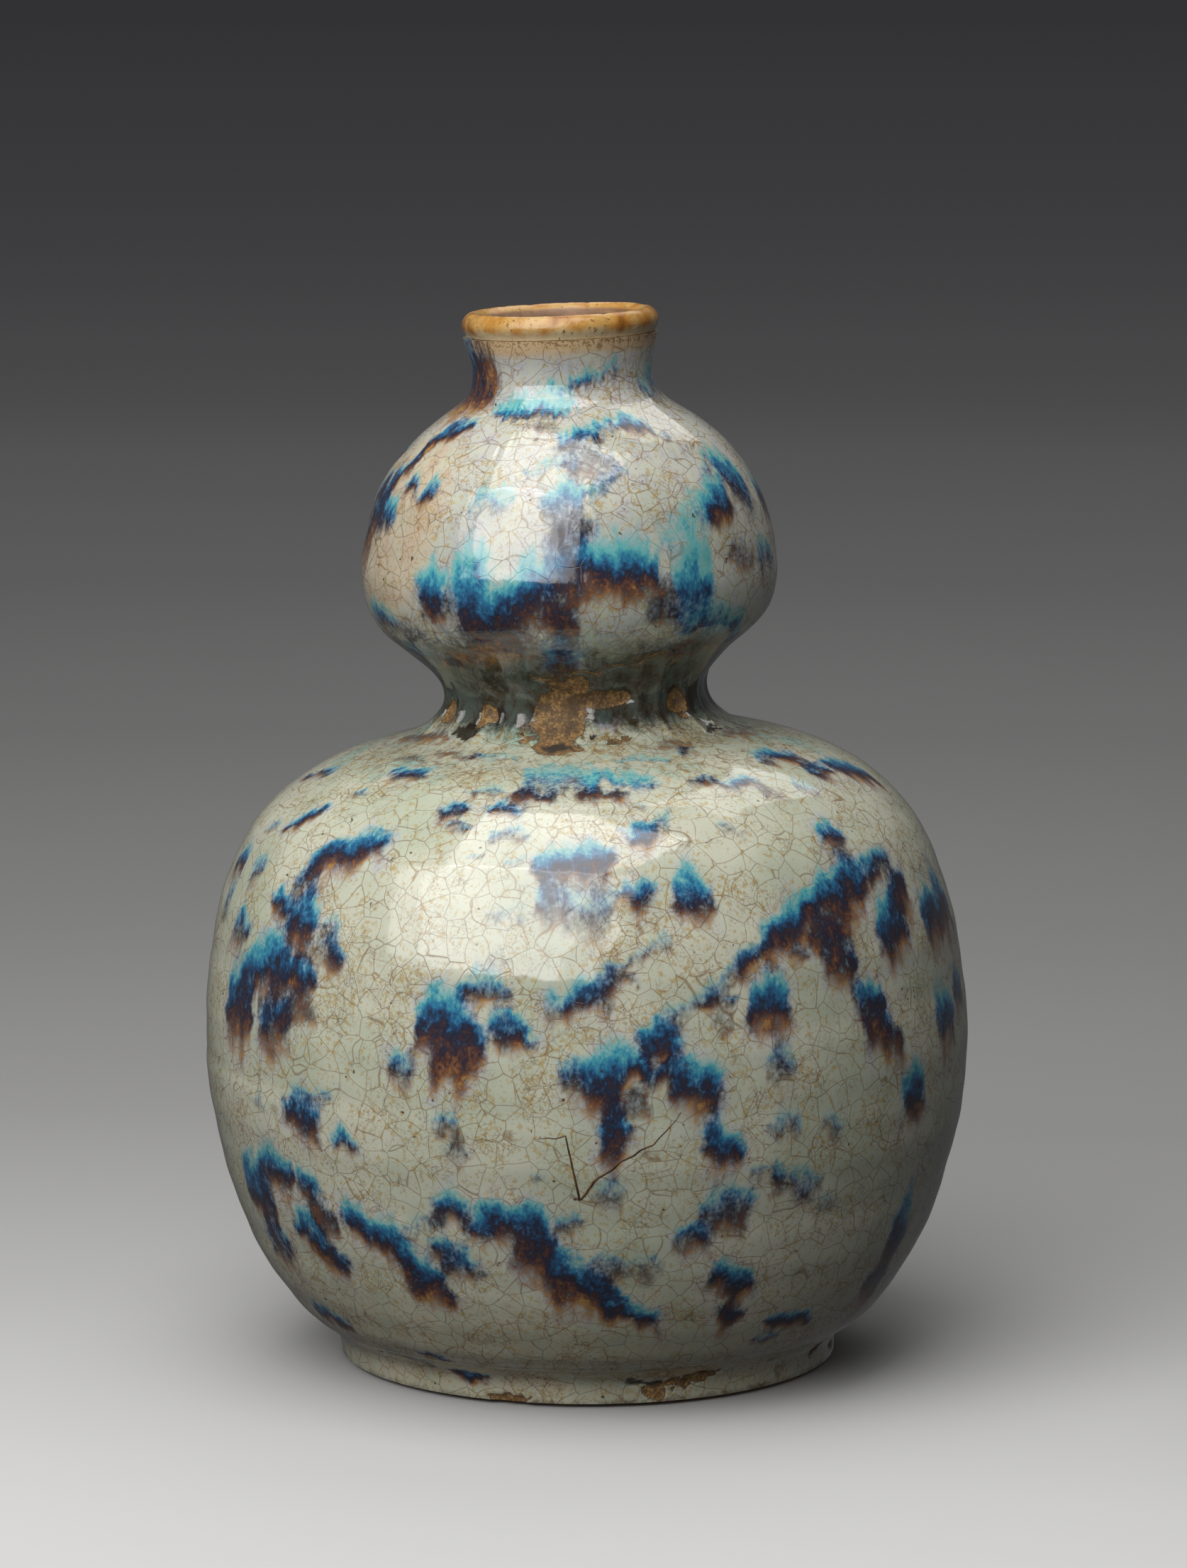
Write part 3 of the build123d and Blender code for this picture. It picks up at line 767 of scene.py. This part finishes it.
def crackle_glaze():
    """Celadon glaze, dipped and fired glossy: clear over cream clay, crazed, flecked with iron, with oxide
    runs that go from turquoise through cobalt to rust as they flow."""
    material, tree, position = new_finish("crackled celadon glaze")
    made = {
        name: add(tree, "ShaderNodeAttribute", {"attribute_name": name}, output="Fac") for name in coat_layers
    }

    # Noises: the size of a lump in millimetres, its stretch upwards and how many finer ones it carries
    noises = {
        "cloud": (22, 1, 2),
        "spread": (12, 1, 1),
        "patch": (9, 1, 2),
        "mottle": (4, 1, 4),
        "peel": (3.5, 1, 2),
        "clump": (2.2, 1.5, 5),
        "pit": (1.4, 1, 1),
        "fleck": (1.1, 1.1, 3),
        "fibre": (0.7, 1.4, 3),
        "grain": (0.5, 1, 2),
    }
    for name, (size, stretch, detail) in noises.items():
        scale = 1 / (size * MM)
        scaled = add(
            tree, "ShaderNodeVectorMath", {"operation": "MULTIPLY"},
            {0: position, 1: (scale, scale, scale / stretch)},
        )
        made[name] = add(
            tree, "ShaderNodeTexNoise", None,
            {"Vector": scaled, "Scale": 1.0, "Detail": detail, "Roughness": 0.58},
        )

    # Crackle: a net of cells of about 7 mm, and finer ones of about 5 and 3.5 mm; the surface cuts each net
    # of solid cells about half as large again as its scale
    warp = add(
        tree, "ShaderNodeTexNoise", None,
        {"Vector": position, "Scale": 1 / (9 * MM), "Detail": 1.0}, "Color",
    )
    bent = add(
        tree, "ShaderNodeVectorMath", {"operation": "MULTIPLY_ADD"}, {0: warp, 1: [4 * MM] * 3, 2: position}
    )
    for name, cell in (("crack", 4.6), ("mid_crack", 3.3), ("fine_crack", 2.3)):
        made[name] = add(
            tree, "ShaderNodeTexVoronoi", {"feature": "DISTANCE_TO_EDGE"},
            {"Vector": bent, "Scale": 1 / (cell * MM)},
        )

    # Masks: what each starts from, the noises that break it up and by how much, where it begins, where it is
    # full, and its most
    masks = {
        "thicker": ("cloud", {}, 0.35, 0.65, 1.0),
        "milky": ("milk", {"mottle": 1.2}, 0.2, 1.0, 0.75),
        # Iron flush at the lip and foot, and a painted warm reflection on the upper bulb's left
        "flushed_and_reflected": ("blush", {"mottle": 0.9, "fibre": 0.3}, 0.1, 1.0, 0.85),
        "flecked": ("fleck", {"patch": 0.2}, 0.52, 0.68, 0.65),
        "specked": ("grain", {"patch": 0.4}, 0.6, 0.72, 0.6),
        "crazed": ("crack", {}, 0.03, 0.004, 0.62),
        "mid_crazed": ("mid_crack", {}, 0.035, 0.005, 0.5),
        "fine_crazed": ("fine_crack", {}, 0.042, 0.005, 0.4),
        "often": ("mottle", {"patch": 0.6}, 0.4, 0.6, 1.0),
        "some": ("patch", {"mottle": 0.4}, 0.44, 0.64, 1.0),
        "coloured": ("splash", {"fibre": 0.8, "clump": 1.1}, -0.02, 0.9, 0.97),
        "near_runs": ("splash", {}, 0.02, 0.3, 1.0),
        # Thin glaze with painted shade round the waist and at the glaze's lower edge
        "thinned_and_shaded": ("thin", {"mottle": 0.9, "fibre": 0.5}, 0.2, 0.9, 0.92),
        "brown": ("clump", {"patch": 0.5}, 0.4, 0.62, 1.0),
        "pooled": ("pool", {"spread": 1.6, "mottle": 1.0}, 0.95, 1.4, 0.7),
        "streaked": ("pool", {"clump": 1.6, "fibre": 0.6}, 0.95, 1.35, 0.75),
        "peppered": ("blush", {"grain": 2.4}, 1.15, 1.5, 0.7),
        # Dark rim round bare clay: a scorched glaze edge, and painted shade that makes the sunk ovals look
        # embossed
        "scorched_and_shaded_rim": ("bare", {"grain": 0.5, "mottle": 0.9}, 0.12, 0.4, 0.85),
        "bared": ("bare", {"grain": 0.5, "mottle": 0.5}, 0.4, 0.6, 1.0),
        "sandy": ("grain", {"mottle": 0.3}, 0.4, 0.65, 1.0),
        "dirty": ("mottle", {"fibre": 0.5}, 0.46, 0.66, 0.85),
        "golden": ("clump", {"grain": 0.6}, 0.5, 0.7, 0.7),
        # Soot, and painted shade in a hollow at the waist
        "burnt_and_shaded": ("soot", {"mottle": 0.9, "grain": 0.4}, 0.15, 0.9, 0.92),
        "pitted": ("pit", {"spread": 0.5}, 0.8, 0.84, 0.85),
    }
    for name, (start, breaks, low, high, most) in masks.items():
        total = made[start]
        for noise, amount in breaks.items():
            total = add(
                tree, "ShaderNodeMath", {"operation": "MULTIPLY_ADD"}, {0: made[noise], 1: amount, 2: total}
            )
        shift = sum(breaks.values()) / 2
        made[name] = add(
            tree, "ShaderNodeMapRange", {"interpolation_type": "SMOOTHSTEP"},
            {"Value": total, "From Min": low + shift, "From Max": high + shift, "To Max": most},
        )
    for name, where in (("mid_crazed", "often"), ("fine_crazed", "some"), ("coloured", "near_runs")):
        made[name] = add(tree, "ShaderNodeMath", {"operation": "MULTIPLY"}, {0: made[name], 1: made[where]})

    # Oxides: turquoise where a run starts, then cobalt, iron black and rust
    stage = made["run"]
    for noise, amount in (("clump", 0.7), ("fibre", 0.55), ("splash", 0.16)):
        stage = add(
            tree, "ShaderNodeMath", {"operation": "MULTIPLY_ADD"}, {0: made[noise], 1: amount, 2: stage}
        )
    stage = add(tree, "ShaderNodeMath", {"operation": "SUBTRACT"}, {0: stage, 1: 0.74})
    oxide = add(
        tree, "ShaderNodeValToRGB", None, {"Fac": stage}, "Color",
        (
            (0.0, "#5AA2A3"), (1.0, "#937040"), (0.13, "#3A8D9B"), (0.29, "#1D668B"), (0.43, "#123F64"),
            (0.56, "#0E1B33"), (0.66, "#231828"), (0.76, "#452A24"), (0.88, "#6C452C"),
        ),
    )

    # Colours, each over the last: glaze, milk, flush and a painted warm reflection, pools, iron flecks,
    # crackle, streaks, thin glaze with painted shade, runs, clay with a dark rim that is scorched and painted
    # shade, soot and painted shade at a waist hollow, and pits
    # Olive: thin glaze over clay, darkened as painted shade round the waist
    over_clay = {"olive_and_shade": ("brown", "#38433E", "#231A10"), "clay": ("sandy", "#6A4A25", "#987743")}
    for name, (share, under, over) in over_clay.items():
        made[name] = add(
            tree, "ShaderNodeMix", {"data_type": "RGBA"}, {0: made[share], 6: under, 7: over}, 2
        )
    for share, over in (("golden", "#A5824A"), ("dirty", "#43301B")):
        made["clay"] = add(
            tree, "ShaderNodeMix", {"data_type": "RGBA"}, {0: made[share], 6: made["clay"], 7: over}, 2
        )
    colour = "#B5B6A5"
    for share, over in (
        ("thicker", "#A4AA97"),
        ("milky", "#A2A1AE"),
        ("flushed_and_reflected", "#B5986F"),
        ("pooled", "#7DABA2"),
        ("flecked", "#A0884C"),
        ("specked", "#856838"),
        ("crazed", "#6E5434"),
        ("mid_crazed", "#6E5434"),
        ("fine_crazed", "#6E5434"),
        ("streaked", "#76592F"),
        ("peppered", "#6B4A25"),
        ("thinned_and_shaded", made["olive_and_shade"]),
        ("coloured", oxide),
        ("scorched_and_shaded_rim", "#46331C"),
        ("bared", made["clay"]),
        ("burnt_and_shaded", "#1D1610"),
        ("pitted", "#3A2817"),
    ):
        colour = add(tree, "ShaderNodeMix", {"data_type": "RGBA"}, {0: made[share], 6: colour, 7: over}, 2)

    roughness = add(
        tree, "ShaderNodeMapRange", None, {"Value": made["bared"], "To Min": 0.085, "To Max": 0.75}
    )
    gritty = add(tree, "ShaderNodeMath", {"operation": "MULTIPLY"}, {0: made["bared"], 1: made["grain"]})
    relief = made["peel"]
    for share, amount in ((made["crazed"], -0.4), (gritty, 7.0)):
        relief = add(tree, "ShaderNodeMath", {"operation": "MULTIPLY_ADD"}, {0: share, 1: amount, 2: relief})
    bump = add(tree, "ShaderNodeBump", None, {"Strength": 0.35, "Distance": 0.09 * MM, "Height": relief})
    dress(tree, {"Base Color": colour, "Roughness": roughness, "IOR": 1.66, "Normal": bump})
    return material


def stoneware(name, dark, light):
    """Stoneware clay, thrown and fired bare: matt, gritty, with the rings that the fingers left."""
    material, tree, position = new_finish(name)
    grit = add(tree, "ShaderNodeTexNoise", None, {"Vector": position, "Scale": 1 / (0.9 * MM), "Detail": 4.0})
    stain = add(tree, "ShaderNodeTexNoise", None, {"Vector": position, "Scale": 1 / (14 * MM), "Detail": 3.0})
    rings = add(
        tree, "ShaderNodeTexWave", {"bands_direction": "Z"},
        {"Vector": position, "Scale": 1 / (20 * 3.2 * MM), "Distortion": 1.2, "Detail": 2.0}, "Fac",
    )
    tone = add(tree, "ShaderNodeMath", {"operation": "MULTIPLY_ADD"}, {0: grit, 1: 0.5, 2: stain})
    colour = add(tree, "ShaderNodeValToRGB", None, {"Fac": tone}, "Color", ((0.45, dark), (0.95, light)))
    height = add(tree, "ShaderNodeMath", {"operation": "MULTIPLY_ADD"}, {0: rings, 1: 0.8, 2: grit})
    bump = add(tree, "ShaderNodeBump", None, {"Strength": 0.5, "Distance": 0.3 * MM, "Height": height})
    dress(tree, {"Base Color": colour, "Roughness": 0.82, "Normal": bump})
    return material


def iron_wash():
    """Iron wash, brushed on the lip and fired: thin and glossy, so amber and straw, burnt in specks, faded
    below, and worn to the brown clay inside the mouth."""
    material, tree, position = new_finish("iron wash")
    worn, soot, faded = (
        add(tree, "ShaderNodeAttribute", {"attribute_name": name}, output="Fac")
        for name in ("worn", "soot", "faded")
    )
    patches, grain = (
        add(
            tree, "ShaderNodeTexNoise", None, {"Vector": position, "Scale": 1 / (size * MM), "Detail": detail}
        )
        for size, detail in ((4.5, 5.0), (0.8, 3.0))
    )
    washed = add(
        tree, "ShaderNodeValToRGB", None, {"Fac": patches}, "Color",
        ((0.3, "#7E4E1C"), (0.7, "#B3925A"), (0.42, "#9C6B2E"), (0.54, "#AA8246")),
    )
    clay = add(
        tree, "ShaderNodeValToRGB", None, {"Fac": patches}, "Color", ((0.35, "#3E2A1E"), (0.65, "#70503A"))
    )
    colour = washed
    for start, amount, low, high, over in (
        (faded, 1.2, 0.85, 1.5, "#B0A283"),
        (worn, 0.8, 0.5, 1.0, clay),
        (grain, 0.3, 0.76, 0.9, "#5A3A1A"),
        (soot, 0.9, 0.7, 1.2, "#17110F"),
    ):
        broken = add(tree, "ShaderNodeMath", {"operation": "MULTIPLY_ADD"}, {0: patches, 1: amount, 2: start})
        share = add(
            tree, "ShaderNodeMapRange", {"interpolation_type": "SMOOTHSTEP"},
            {"Value": broken, "From Min": low, "From Max": high, "To Max": 0.9},
        )
        colour = add(tree, "ShaderNodeMix", {"data_type": "RGBA"}, {0: share, 6: colour, 7: over}, 2)
    roughness = add(tree, "ShaderNodeMapRange", None, {"Value": worn, "To Min": 0.2, "To Max": 0.7})
    bump = add(tree, "ShaderNodeBump", None, {"Strength": 0.4, "Distance": 0.2 * MM, "Height": grain})
    dress(tree, {"Base Color": colour, "Roughness": roughness, "Normal": bump})
    return material


def crack_stain():
    """Tea and dust, soaked into a crack: matt, dark brown, paler where less went in."""
    material, tree, position = new_finish("crack stain")
    soaked = add(tree, "ShaderNodeTexNoise", None, {"Vector": position, "Scale": 1 / (2 * MM), "Detail": 2.0})
    colour = add(
        tree, "ShaderNodeValToRGB", None, {"Fac": soaked}, "Color", ((0.4, "#2A1B0E"), (0.65, "#5A3D20"))
    )
    dress(tree, {"Base Color": colour, "Roughness": 0.6})
    return material


def painted_falloff_paper():
    """Studio paper: matt, with painted light falloff, pale round the vase and greyer far off."""
    material, tree, position = new_finish("studio paper")
    reach = add(
        tree, "ShaderNodeVectorMath", {"operation": "DISTANCE"}, {0: position, 1: palest_painted_spot}, "Value"
    )
    furthest = max(painted_falloff_tones)
    share = add(tree, "ShaderNodeMath", {"operation": "DIVIDE"}, {0: reach, 1: furthest})
    # Painted light falloff: the paper's tone is set by its distance from the palest painted spot
    tone = add(
        tree, "ShaderNodeValToRGB", None, {"Fac": share}, "Color",
        [(distance / furthest, code) for distance, code in painted_falloff_tones.items()],
    )
    dress(tree, {"Base Color": tone, "Roughness": 0.9})
    return material


# Pieces


def glaze_coats():
    """Both coats: their runs, marks, ribs and chips, then their shells."""
    profile = glazed_profile()
    lower = Coat("lower_glaze_coat", profile, glaze_edge_height, waist_height, [3 * MM, waist_height], 1.0)
    upper = Coat("upper_glaze_coat", profile, waist_height, lip_foot_height, [waist_height], 1.4)
    for run in neck_runs + crown_runs + bulb_runs:
        lay_run(upper, *run)
    for run in shoulder_runs + belly_runs + base_runs:
        lay_run(lower, *run)
    for run in runs_round_the_back(146, 192, 22):
        lay_run(upper, *run)
    for run in runs_round_the_back(12, 125, 56):
        lay_run(lower, *run)
    for coat in (lower, upper):
        for rib in waist_ribs:
            lay_rib(coat, *rib)
        for mark in waist_marks:
            lay_mark(coat, *mark)
    for chip in foot_chips:
        lay_mark(lower, *chip)
    glaze = crackle_glaze()
    for name, coat in (("lower_glaze", lower), ("upper_glaze", upper)):
        finish_coat(coat)
        coat_piece(name, coat, glaze)


def lip_ring():
    """The washed lip: a closed ring with an uneven roll, measured on its solid round the roll's middle."""
    solid = BVHTree.FromObject(frame["nodes"]["lip_wash"], bpy.context.evaluated_depsgraph_get())
    roll_middle = (16.2 * MM, 205.6 * MM)
    reach = 9 * MM
    measured_turn = 0.6
    angles = np.radians(np.linspace(-11, 207, 60))
    section = []
    for angle in angles:
        out = (roll_middle[0] + reach * math.cos(angle), roll_middle[1] + reach * math.sin(angle))
        start = Vector(place(measured_turn, out[1], out[0]))
        aim = Vector(place(measured_turn, roll_middle[1], roll_middle[0]))
        hit = solid.ray_cast(start, aim - start)[0]
        if hit is not None:
            share = 1 - (hit - start).length / reach
            section.append(
                (
                    roll_middle[0] + share * reach * math.cos(angle),
                    roll_middle[1] + share * reach * math.sin(angle),
                )
            )
    section = np.array(section)
    tangent = np.gradient(section, axis=0)
    normal = np.stack([tangent[:, 1], -tangent[:, 0]], axis=1)
    normal /= np.linalg.norm(normal, axis=1)[:, None]
    along = np.linspace(0, 1, len(section))
    free = np.minimum(ease(0, 0.12, along), 1 - ease(0.85, 1, along))
    turns = np.arange(turn_count) * 2 * math.pi / turn_count - math.pi
    lumps = 0.16 * MM * smooth_comb(turn_count, 60)[None, :] + 0.05 * MM * smooth_comb(turn_count, 9)[None, :]
    nicks = np.zeros(turn_count)
    for turn, spread in ((-64, 0.07), (30, 0.03), (112, 0.12), (200, 0.05), (162, 0.03)):
        way = (turns - math.radians(turn) + math.pi) % (2 * math.pi) - math.pi
        nicks += 0.12 * MM * np.exp(-((way / spread) ** 2))
    shift = free[:, None] * (lumps - nicks[None, :] * np.exp(-((along[:, None] - 0.35) / 0.2) ** 2))
    outer = section[:, None, :] + normal[:, None, :] * shift[:, :, None]
    inner = section[::-1, None, :] - normal[::-1, None, :] * 0.9 * glaze_thickness + 0 * outer
    grid = np.concatenate([outer, inner])
    points = place(turns[None, :] + 0 * grid[:, :, 0], grid[:, :, 1], grid[:, :, 0]).reshape(-1, 3)
    piece = new_piece("lip_ring", points, shell_faces(len(grid)), iron_wash())
    both_ways = np.concatenate([along, along[::-1]])[:, None] + 0 * turns[None, :]
    add_layer(piece, "worn", ease(0.42, 0.62, both_ways))
    add_layer(piece, "faded", 1 - ease(0.02, 0.3, both_ways))
    blotch = 0.75 * np.exp(-(((turns - math.radians(148)) / 0.28) ** 2))
    streak = 0.5 * np.exp(-(((turns - math.radians(-68)) / 0.1) ** 2))
    inside, outside = ease(0.5, 0.7, both_ways), 1 - ease(0.2, 0.5, both_ways)
    add_layer(piece, "soot", blotch[None, :] * inside + streak[None, :] * outside)
    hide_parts("lip_wash")


def stained_crack():
    """A crack through the glaze that dirt has stained: a thin dark bead that lies in the surface."""
    half_width, rise = 0.3 * MM, 0.05 * MM
    way = np.array(crack_route)
    order = np.arange(len(way))
    steps = np.linspace(0, len(way) - 1, 16 * (len(way) - 1) + 1)
    turn = np.radians(np.interp(steps, order, way[:, 0]))
    height = np.interp(steps, order, way[:, 1]) * MM + 0.3 * MM * smooth_comb(len(steps), 5)
    solid = BVHTree.FromObject(bpy.data.objects["lower_glaze"], bpy.context.evaluated_depsgraph_get())
    hits = [
        solid.ray_cast(Vector(point), Vector((0, 0, point[2])) - Vector(point))
        for point in place(turn, height, 2 * belly_radius)
    ]
    spots = [hit[0] for hit in hits]
    points = []
    for step, (spot, facing, _, _) in enumerate(hits):
        ahead = spots[min(step + 1, len(spots) - 1)] - spots[max(step - 1, 0)]
        swell = half_width * (0.3 + 0.7 * math.sin(math.pi * step / (len(spots) - 1)))
        side = ahead.cross(facing).normalized() * swell
        points += [spot - side - facing * 0.2 * rise, spot + facing * rise, spot + side - facing * 0.2 * rise]
        points += [spot - facing * 2 * rise]
    faces = [
        (4 * step + edge, 4 * step + (edge + 1) % 4, 4 * step + 4 + (edge + 1) % 4, 4 * step + 4 + edge)
        for step in range(len(spots) - 1)
        for edge in range(4)
    ]
    last = len(points)
    faces += [(3, 2, 1, 0), (last - 4, last - 3, last - 2, last - 1)]
    piece = new_piece("stained_crack", np.array(points), np.array(faces), crack_stain())


def clay_nodes():
    """The clay sections and their slip keep their solids and get their finishes."""
    clay = stoneware("fired stoneware", "#563A26", "#8C6A4A")
    slip = stoneware("fired slip", "#7D5B3C", "#BF9A70")
    for name, node in frame["nodes"].items():
        if name.endswith("_slip_seam"):
            finish = slip
        elif name.endswith("_coat") or name == "lip_wash":
            continue
        else:
            finish = clay
        node.data.materials.clear()
        node.data.materials.append(finish)


def studio():
    """Paper floor, softboxes and the photograph's camera."""
    signs = ((-1, -1), (1, -1), (1, 1), (-1, 1))
    corners = [(across * paper_reach, back * paper_reach, 0) for across, back in signs]
    mesh = bpy.data.meshes.new("studio_floor")
    mesh.from_pydata(corners, [], [(0, 1, 2, 3)])
    mesh.materials.append(painted_falloff_paper())
    floor = bpy.data.objects.new("studio_floor", mesh)
    floor.visible_diffuse = False
    floor.visible_glossy = False
    bpy.context.scene.collection.objects.link(floor)

    # Softboxes: turn and rise of the middle from the vase, distance, width, height and power
    softboxes = {
        "key_softbox": (-30, 35.5, 0.95, 0.8, 0.79, 4.4),
        "key_spill": (-30, 35.5, 0.96, 1.25, 0.79, 7.2),
        "top_softbox": (-28, 76, 1.0, 0.85, 0.7, 7.2),
        "back_softbox": (166, 54, 1.3, 1.0, 0.8, 4.0),
    }
    aim = Vector((0, 0, 0.1))
    for name, (turn, rise, distance, width, height, power) in softboxes.items():
        lamp = bpy.data.lights.new(name, "AREA")
        lamp.shape = "RECTANGLE"
        lamp.size = width
        lamp.size_y = height
        lamp.energy = power
        lamp.color = linear("#FFFEFC")[:3]
        holder = bpy.data.objects.new(name, lamp)
        turned, lifted = math.radians(turn), math.radians(rise)
        out = math.cos(lifted)
        way = Vector((math.sin(turned) * out, -math.cos(turned) * out, math.sin(lifted)))
        holder.location = aim + way * distance
        holder.rotation_mode = "QUATERNION"
        holder.rotation_quaternion = way.to_track_quat("Z", "Y")
        bpy.context.scene.collection.objects.link(holder)

    world = bpy.data.worlds.new("studio_room")
    world.use_nodes = True
    room = world.node_tree.nodes["Background"]
    room.inputs["Color"].default_value = linear("#8C8C90")
    room.inputs["Strength"].default_value = 0.25
    bpy.context.scene.world = world

    camera = bpy.data.cameras.new("photo_camera")
    camera.sensor_width = 36.0
    camera.lens = camera.sensor_width * focal_pixels / photo_height
    camera.clip_end = 20
    viewer = bpy.data.objects.new("photo_camera", camera)
    viewer.location = camera_place
    viewer.rotation_euler = (math.pi / 2 - camera_pitch, 0, 0)
    bpy.context.scene.collection.objects.link(viewer)
    bpy.context.scene.camera = viewer
    bpy.context.scene.view_settings.view_transform = "Standard"


glaze_coats()
lip_ring()
stained_crack()
clay_nodes()
studio()
